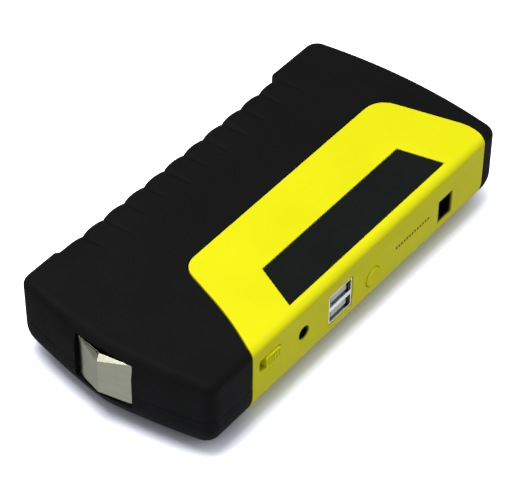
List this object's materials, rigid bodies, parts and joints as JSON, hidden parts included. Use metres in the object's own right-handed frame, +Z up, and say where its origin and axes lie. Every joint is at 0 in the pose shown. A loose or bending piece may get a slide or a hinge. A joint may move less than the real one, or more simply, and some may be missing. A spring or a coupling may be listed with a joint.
{
  "type": "jump starter pack",
  "caption": "Handheld car battery pack with black shells, a yellow wrap-round port cover, a steel window breaker in the nose, an end lamp and a covered jump socket.",
  "frame": {"origin": "centre of the flat base, on the surface the pack rests on", "axes": "+X from the hammer nose to the lamp end, +Y from the port side to the grip side, +Z up through the label face"},
  "size_m": [0.1762, 0.0837, 0.0345],
  "materials": {
    "black_shell": "soft-touch black, fine grain",
    "yellow_shell": "bright yellow, satin gloss",
    "label": "dark satin film, bare",
    "steel": "ground bright steel",
    "tin_plate": "bright tin plate",
    "black_plastic": "moulded black",
    "white_plastic": "moulded white",
    "brass": "turned brass",
    "blue_plastic": "moulded blue",
    "rubber": "soft black rubber",
    "clear_plastic": "clear moulded plastic",
    "reflector": "bright metallised",
    "led": "yellow phosphor",
    "board": "green solder mask",
    "ferrite": "dark ferrite",
    "can": "bare can",
    "pouch": "dull foil",
    "nickel": "nickel strip",
    "red_sleeve": "red insulation",
    "black_sleeve": "black insulation",
    "foam": "closed foam",
    "screw_steel": "plated screw"
  },
  "bodies": {
    "housing": {"upper_shell": "black_shell", "lower_shell": "black_shell", "port_cover": "yellow_shell", "label_plate": "label", "hammer_head": "steel", "usb_shell": "tin_plate", "usb_insulator": "white_plastic", "dc_input_jack": "black_plastic", "dc_input_pin": "tin_plate", "dc_output_jack": "black_plastic", "dc_output_pin": "tin_plate", "indicator_light_pipe": "clear_plastic", "power_switch": "black_plastic", "selector_switch": "black_plastic", "lamp_lens": "clear_plastic", "lamp_reflector": "reflector", "lamp_board": "board", "jump_socket": "blue_plastic", "jump_contact_negative": "brass", "jump_contact_positive": "brass", "jump_cover_pin": "screw_steel", "main_board": "board", "boost_inductor": "ferrite", "filter_capacitor_1": "can", "filter_capacitor_2": "can", "output_mosfet_1": "black_plastic", "output_mosfet_2": "black_plastic", "controller_chip": "black_plastic", "foam_pad": "foam", "lead_positive": "red_sleeve", "lead_negative": "black_sleeve", "shell_screw_1": "screw_steel", "board_screw_1": "screw_steel", "cell_1": "pouch", "shell_screw_2": "screw_steel", "board_screw_2": "screw_steel", "cell_2": "pouch", "shell_screw_3": "screw_steel", "board_screw_3": "screw_steel", "cell_3": "pouch", "shell_screw_4": "screw_steel", "board_screw_4": "screw_steel", "cell_4": "pouch", "cell_link_1": "nickel", "lamp_led_1": "led", "cell_link_2": "nickel", "lamp_led_2": "led", "cell_link_3": "nickel", "lamp_led_3": "led"},
    "power_button": {"power_button": "yellow_shell", "power_plunger": "white_plastic"},
    "selector": {"selector_knob": "yellow_shell"},
    "jump_cover": {"jump_cover": "rubber"}
  },
  "joints": [
    {"name": "power_button_press", "type": "slide", "parent": "housing", "child": "power_button", "axis": [0, 1, 0], "range_m": [0, 0.0008], "stiffness_N_per_m": 600},
    {"name": "selector_slide", "type": "slide", "parent": "housing", "child": "selector", "axis": [-1, 0, 0], "range_m": [0, 0.0026]},
    {"name": "jump_cover_hinge", "type": "hinge", "parent": "housing", "child": "jump_cover", "pos_m": [0.08349, 0.0312, 0.0224], "axis": [0, 0, 1], "range_deg": [0, 90]}
  ]
}
